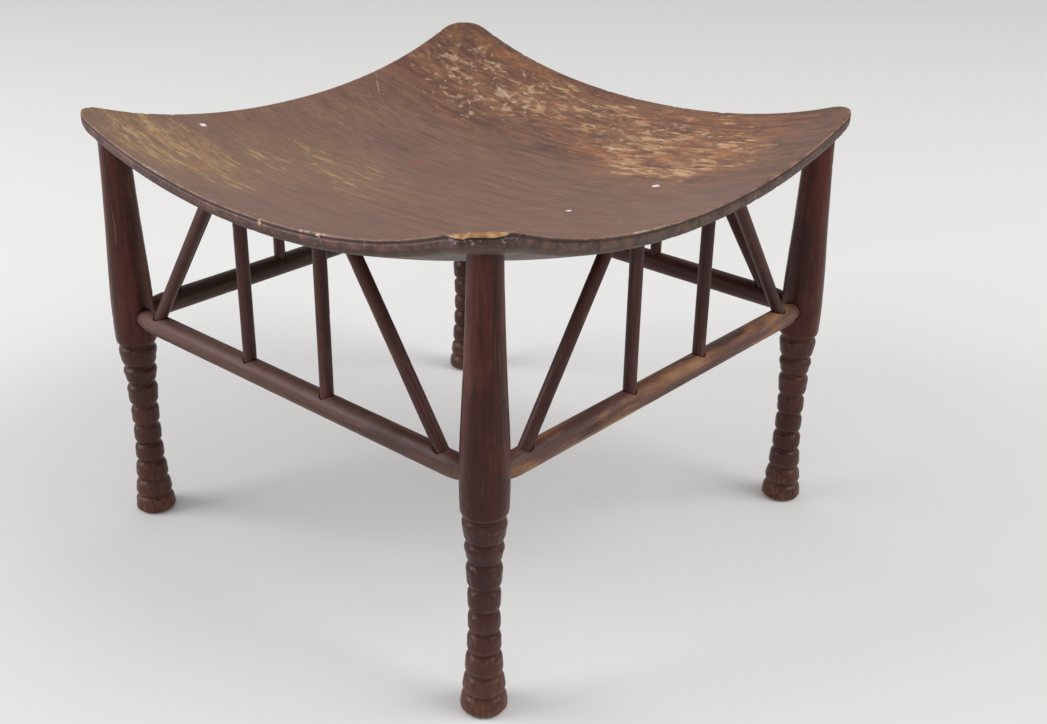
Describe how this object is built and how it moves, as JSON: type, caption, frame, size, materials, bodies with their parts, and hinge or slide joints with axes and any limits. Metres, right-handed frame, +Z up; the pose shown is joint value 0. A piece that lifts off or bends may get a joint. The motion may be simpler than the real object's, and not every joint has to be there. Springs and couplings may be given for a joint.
{
  "type": "low square stool with dished seat",
  "caption": "Low square stool: dished board seat on turned ringed legs, round rails low down, and upright and slanted spindles between rails and seat.",
  "frame": {"origin": "on the floor, at the centre of the square of legs", "axes": "+Z up; the sides of the square lie along X and Y; front is -Y and right is +X"},
  "size_m": [0.426, 0.426, 0.349],
  "materials": {
    "seat_wood": "stained mahogany, satin, worn and streaked",
    "leg_wood": "dark reddish-brown stain, satin",
    "rail_wood": "reddish-brown stain, satin, rubbed lighter along the top",
    "spindle_wood": "dark reddish-brown stain, satin"
  },
  "bodies": {
    "root": {"seat_board": "seat_wood", "leg_front_left": "leg_wood", "leg_front_right": "leg_wood", "leg_back_left": "leg_wood", "leg_back_right": "leg_wood", "rail_front": "rail_wood", "rail_right": "rail_wood", "rail_back": "rail_wood", "rail_left": "rail_wood", "post_front_1": "spindle_wood", "post_front_2": "spindle_wood", "post_right_1": "spindle_wood", "post_right_2": "spindle_wood", "post_back_1": "spindle_wood", "post_back_2": "spindle_wood", "post_left_1": "spindle_wood", "post_left_2": "spindle_wood", "brace_front_1": "spindle_wood", "brace_front_2": "spindle_wood", "brace_right_1": "spindle_wood", "brace_right_2": "spindle_wood", "brace_back_1": "spindle_wood", "brace_back_2": "spindle_wood", "brace_left_1": "spindle_wood", "brace_left_2": "spindle_wood"}
  },
  "joints": []
}
